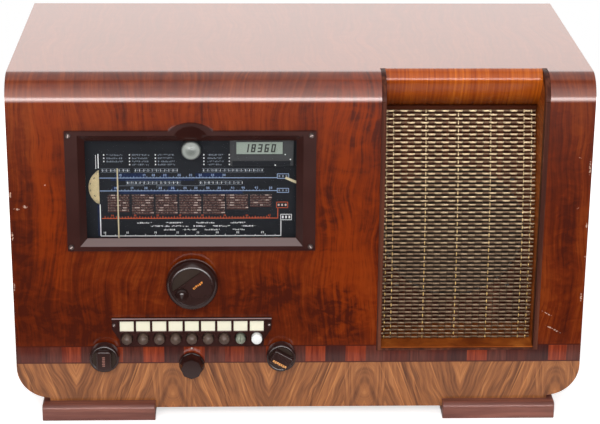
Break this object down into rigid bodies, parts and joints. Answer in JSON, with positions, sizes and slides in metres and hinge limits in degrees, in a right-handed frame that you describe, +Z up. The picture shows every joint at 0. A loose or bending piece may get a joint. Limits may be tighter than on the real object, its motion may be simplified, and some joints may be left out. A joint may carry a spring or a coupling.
{
  "type": "table radio receiver",
  "caption": "Bent walnut table radio with a rolled front-top edge, bezelled tuning dial, push-button row, four knobs and a woven wire speaker bay.",
  "frame": {"origin": "on the floor, at the middle of the width and of the whole depth, knobs included", "axes": "+X to the right seen from the front, +Y towards the back, +Z up"},
  "size_m": [0.6, 0.334, 0.376],
  "materials": {
    "walnut_veneer": "french polished, worn at the edges",
    "foot_wood": "dark stained, satin",
    "inlay_veneer": "banded dark and red-brown",
    "bare_plywood": "unfinished",
    "bead_wood": "dark stained",
    "cornice_veneer": "straight grain, polished",
    "lining_wood": "polished",
    "woven_brass": "aged",
    "speaker_steel": "crackle paint",
    "cone_paper": "black felted paper",
    "transformer_iron": "lacquered laminations",
    "plated_steel": "dull plating",
    "bakelite": "polished dark brown",
    "dial_glass": "clear",
    "scale_paint": "black with printed scales",
    "eye_glass": "frosted tube end",
    "display_plastic": "black case with grey window",
    "cream_card": "aged cream",
    "pointer_paint": "cream enamel",
    "lamp_glass": "clear",
    "cord_fibre": "waxed",
    "brown_cap": "rubbed brown",
    "metal_cap": "tarnished",
    "white_cap": "white",
    "chassis_steel": "dull plating",
    "vane_aluminium": "dull",
    "valve_glass": "clear",
    "fibreboard": "brown pressed board",
    "terminal_board": "brown laminate"
  },
  "bodies": {
    "cabinet": {"front_top_panel": "walnut_veneer", "left_side": "walnut_veneer", "right_side": "walnut_veneer", "bottom_board": "bare_plywood", "cabinet_battens": "bare_plywood", "foot_left": "foot_wood", "foot_right": "foot_wood", "inlay_band": "inlay_veneer", "back_cover": "fibreboard", "panel_screws": "plated_steel", "bay_bead": "bead_wood", "bay_cornice": "cornice_veneer", "bay_lining": "lining_wood", "baffle_board": "bare_plywood", "grille_mesh": "woven_brass", "speaker_basket": "speaker_steel", "speaker_magnet": "speaker_steel", "output_transformer": "transformer_iron", "frame_bolts": "plated_steel", "dial_bezel": "bakelite", "dial_glass": "dial_glass", "scale_plate": "scale_paint", "dial_frame": "plated_steel", "tuning_eye": "eye_glass", "frequency_display": "display_plastic", "dial_lamps": "lamp_glass", "drive_cord": "cord_fibre", "button_strip": "bakelite", "button_labels": "cream_card", "button_switch_bank": "terminal_board", "front_controls": "plated_steel", "chassis": "chassis_steel", "tuning_gang_frame": "vane_aluminium", "mains_transformer": "transformer_iron", "screening_cans": "vane_aluminium", "valve_bulbs": "valve_glass", "valve_bases": "bakelite", "rear_terminals": "terminal_board"},
    "tuning": {"tuning_knob": "bakelite", "tuning_spindle": "plated_steel"},
    "pointer": {"dial_pointer": "pointer_paint"},
    "gang": {"tuning_gang_rotor": "vane_aluminium"},
    "logging": {"logging_disc": "cream_card"},
    "volume": {"volume_knob": "bakelite", "volume_shaft": "plated_steel"},
    "tone": {"tone_knob": "bakelite", "tone_shaft": "plated_steel"},
    "waveband": {"waveband_knob": "bakelite", "waveband_shaft": "plated_steel"},
    "band_lever": {"band_pointer": "pointer_paint"},
    "cone": {"speaker_cone": "cone_paper"},
    "key_1": {"button_1": "brown_cap"},
    "key_2": {"button_2": "brown_cap"},
    "key_3": {"button_3": "brown_cap"},
    "key_4": {"button_4": "brown_cap"},
    "key_5": {"button_5": "brown_cap"},
    "key_6": {"button_6": "brown_cap"},
    "key_7": {"button_7": "brown_cap"},
    "key_8": {"button_8": "metal_cap"},
    "key_9": {"button_9": "white_cap"}
  },
  "joints": [
    {"name": "tuning_turn", "type": "hinge", "parent": "cabinet", "child": "tuning", "pos_m": [-0.113, -0.148, 0.155], "axis": [0, 1, 0], "range_deg": [-120, 1855]},
    {"name": "pointer_slide", "type": "slide", "parent": "cabinet", "child": "pointer", "axis": [1, 0, 0], "range_m": [-0.0104, 0.1591]},
    {"name": "gang_turn", "type": "hinge", "parent": "cabinet", "child": "gang", "pos_m": [0.022, -0.148, 0.155], "axis": [0, 1, 0], "range_deg": [-11.5, 170]},
    {"name": "logging_turn", "type": "hinge", "parent": "cabinet", "child": "logging", "pos_m": [-0.2062, -0.148, 0.2545], "axis": [0, 1, 0], "range_deg": [-62, 950]},
    {"name": "volume_turn", "type": "hinge", "parent": "cabinet", "child": "volume", "pos_m": [-0.2063, -0.148, 0.072], "axis": [0, 1, 0], "range_deg": [-140, 140]},
    {"name": "tone_turn", "type": "hinge", "parent": "cabinet", "child": "tone", "pos_m": [-0.1144, -0.148, 0.0615], "axis": [0, 1, 0], "range_deg": [-135, 135]},
    {"name": "waveband_turn", "type": "hinge", "parent": "cabinet", "child": "waveband", "pos_m": [-0.0197, -0.148, 0.072], "axis": [0, 1, 0], "range_deg": [0, 90]},
    {"name": "band_swing", "type": "hinge", "parent": "cabinet", "child": "band_lever", "pos_m": [0.0306, -0.148, 0.2447], "axis": [0, 1, 0], "range_deg": [-49, 0]},
    {"name": "cone_stroke", "type": "slide", "parent": "cabinet", "child": "cone", "axis": [0, 1, 0], "range_m": [-0.001, 0.001], "stiffness_N_per_m": 2000},
    {"name": "key_1_press", "type": "slide", "parent": "cabinet", "child": "key_1", "axis": [0, 1, 0], "range_m": [0, 0.005], "stiffness_N_per_m": 300, "springref_m": -0.002},
    {"name": "key_2_press", "type": "slide", "parent": "cabinet", "child": "key_2", "axis": [0, 1, 0], "range_m": [0, 0.005], "stiffness_N_per_m": 300, "springref_m": -0.002},
    {"name": "key_3_press", "type": "slide", "parent": "cabinet", "child": "key_3", "axis": [0, 1, 0], "range_m": [0, 0.005], "stiffness_N_per_m": 300, "springref_m": -0.002},
    {"name": "key_4_press", "type": "slide", "parent": "cabinet", "child": "key_4", "axis": [0, 1, 0], "range_m": [0, 0.005], "stiffness_N_per_m": 300, "springref_m": -0.002},
    {"name": "key_5_press", "type": "slide", "parent": "cabinet", "child": "key_5", "axis": [0, 1, 0], "range_m": [0, 0.005], "stiffness_N_per_m": 300, "springref_m": -0.002},
    {"name": "key_6_press", "type": "slide", "parent": "cabinet", "child": "key_6", "axis": [0, 1, 0], "range_m": [0, 0.005], "stiffness_N_per_m": 300, "springref_m": -0.002},
    {"name": "key_7_press", "type": "slide", "parent": "cabinet", "child": "key_7", "axis": [0, 1, 0], "range_m": [0, 0.005], "stiffness_N_per_m": 300, "springref_m": -0.002},
    {"name": "key_8_press", "type": "slide", "parent": "cabinet", "child": "key_8", "axis": [0, 1, 0], "range_m": [0, 0.005], "stiffness_N_per_m": 300, "springref_m": -0.002},
    {"name": "key_9_press", "type": "slide", "parent": "cabinet", "child": "key_9", "axis": [0, 1, 0], "range_m": [0, 0.005], "stiffness_N_per_m": 300, "springref_m": -0.002}
  ],
  "couplings": [
    {"joint": "pointer_slide", "follows": "tuning_turn", "m_per_rad": 0.0049},
    {"joint": "gang_turn", "follows": "tuning_turn", "ratio": 0.090741},
    {"joint": "logging_turn", "follows": "tuning_turn", "ratio": 0.51042},
    {"joint": "band_swing", "follows": "waveband_turn", "ratio": -0.54}
  ]
}
